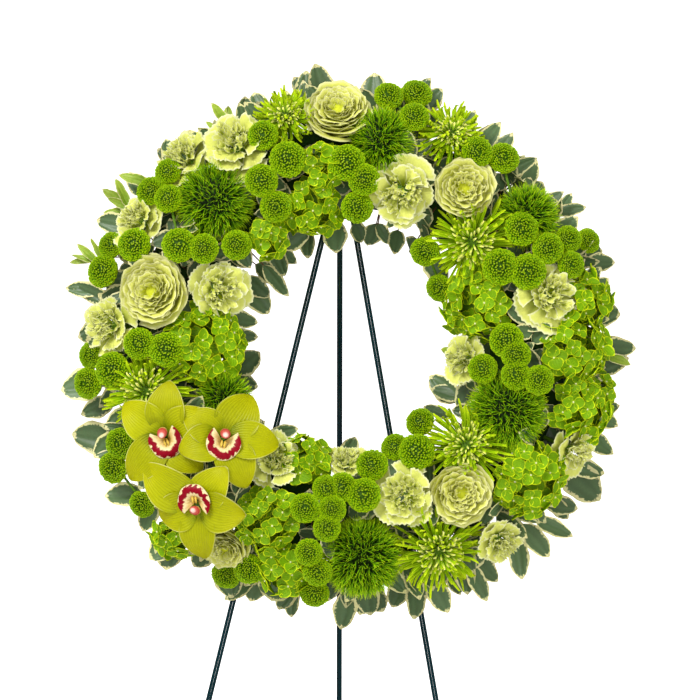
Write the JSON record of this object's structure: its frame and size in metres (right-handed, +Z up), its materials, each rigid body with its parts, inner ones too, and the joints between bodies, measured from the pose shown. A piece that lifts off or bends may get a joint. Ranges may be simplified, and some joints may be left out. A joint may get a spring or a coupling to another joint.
{
  "type": "funeral wreath on easel",
  "caption": "Ring-shaped funeral wreath of green and ivory flowers with a leaf fringe, hung on a folding three-legged wire easel.",
  "frame": {"origin": "on the floor under the middle of the whole object's bounding box", "axes": "+Z up, the wreath faces -Y, +X to the viewer's right when facing the wreath"},
  "size_m": [0.5934, 0.5848, 1.2781],
  "materials": {
    "easel_paint": "gloss",
    "tray_plastic": "satin",
    "wet_foam": "matte",
    "leaf": "satin",
    "orchid_petal": "satin",
    "rose_petal": "matte",
    "carnation_petal": "matte",
    "trick_bristle": "matte",
    "spider_petal": "matte",
    "hydrangea_floret": "matte",
    "button_petal": "matte"
  },
  "bodies": {
    "wreath_and_front": {"front_left_leg": "easel_paint", "front_right_leg": "easel_paint", "pivot_bar": "easel_paint", "cross_bar": "easel_paint", "hanger_hook": "easel_paint", "ring_tray": "tray_plastic", "foam_ring": "wet_foam", "foliage_outer_right": "leaf", "foliage_outer_left": "leaf", "foliage_inner_right": "leaf", "foliage_inner_left": "leaf", "orchid_1": "orchid_petal", "orchid_2": "orchid_petal", "orchid_3": "orchid_petal", "rose_1": "rose_petal", "rose_2": "rose_petal", "rose_3": "rose_petal", "rose_4": "rose_petal", "rose_5": "rose_petal", "carnation_1": "carnation_petal", "carnation_2": "carnation_petal", "carnation_3": "carnation_petal", "carnation_4": "carnation_petal", "carnation_5": "carnation_petal", "carnation_6": "carnation_petal", "carnation_7": "carnation_petal", "carnation_8": "carnation_petal", "carnation_9": "carnation_petal", "carnation_10": "carnation_petal", "carnation_11": "carnation_petal", "carnation_12": "carnation_petal", "trick_dianthus_1": "trick_bristle", "trick_dianthus_2": "trick_bristle", "trick_dianthus_3": "trick_bristle", "trick_dianthus_4": "trick_bristle", "trick_dianthus_5": "trick_bristle", "spider_mum_1": "spider_petal", "spider_mum_2": "spider_petal", "spider_mum_3": "spider_petal", "spider_mum_4": "spider_petal", "spider_mum_5": "spider_petal", "spider_mum_6": "spider_petal", "hydrangea_1": "hydrangea_floret", "hydrangea_2": "hydrangea_floret", "hydrangea_3": "hydrangea_floret", "hydrangea_4": "hydrangea_floret", "hydrangea_5": "hydrangea_floret", "hydrangea_6": "hydrangea_floret", "hydrangea_7": "hydrangea_floret", "hydrangea_8": "hydrangea_floret", "button_mum_spray_1": "button_petal", "button_mum_spray_2": "button_petal", "button_mum_spray_3": "button_petal", "button_mum_spray_4": "button_petal", "button_mum_spray_5": "button_petal", "button_mum_spray_6": "button_petal", "button_mum_spray_7": "button_petal", "button_mum_spray_8": "button_petal", "button_mum_spray_9": "button_petal"},
    "back_leg": {"back_leg": "easel_paint"}
  },
  "joints": [
    {"name": "back_leg_hinge", "type": "hinge", "parent": "wreath_and_front", "child": "back_leg", "pos_m": [-0.00077, -0.08166, 1.1414], "axis": [1, 0, 0], "range_deg": [-24, 0]}
  ]
}
